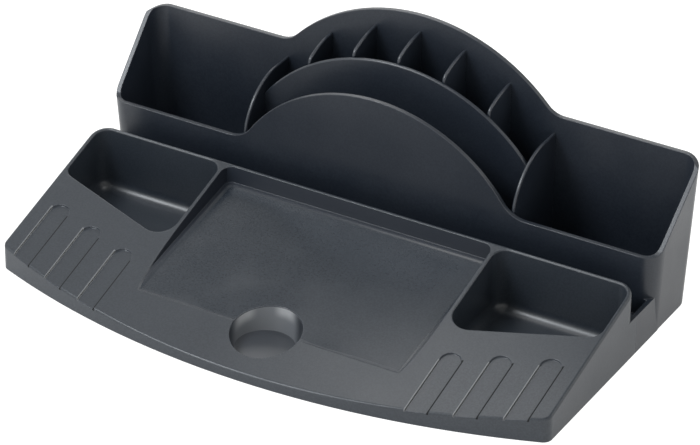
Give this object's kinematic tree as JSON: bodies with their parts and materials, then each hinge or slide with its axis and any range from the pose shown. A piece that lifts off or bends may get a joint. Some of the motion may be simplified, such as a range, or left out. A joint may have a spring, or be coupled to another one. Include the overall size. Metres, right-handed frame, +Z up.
{
  "type": "tool storage caddy",
  "caption": "Charcoal moulded bench caddy: sloping front tray with cups, channels and note recess, and an arched rear caddy with bins and pen cells.",
  "frame": {"origin": "on the table, under the middle of the caddy's bounding box", "axes": "+X to the right along the front edge, +Y from the tray to the caddy, +Z up"},
  "size_m": [0.2734, 0.1551, 0.1014],
  "materials": {
    "moulding": "satin fine texture",
    "foot_rubber": "matte"
  },
  "bodies": {
    "root": {"front_tray": "moulding", "rear_caddy": "moulding", "letter_partition": "moulding", "pen_divider_1": "moulding", "pen_divider_2": "moulding", "pen_divider_3": "moulding", "pen_divider_4": "moulding", "pen_divider_5": "moulding", "end_divider_left": "moulding", "end_divider_right": "moulding", "foot_front_left": "foot_rubber", "foot_front_right": "foot_rubber", "foot_rear_left": "foot_rubber", "foot_rear_right": "foot_rubber"}
  },
  "joints": []
}
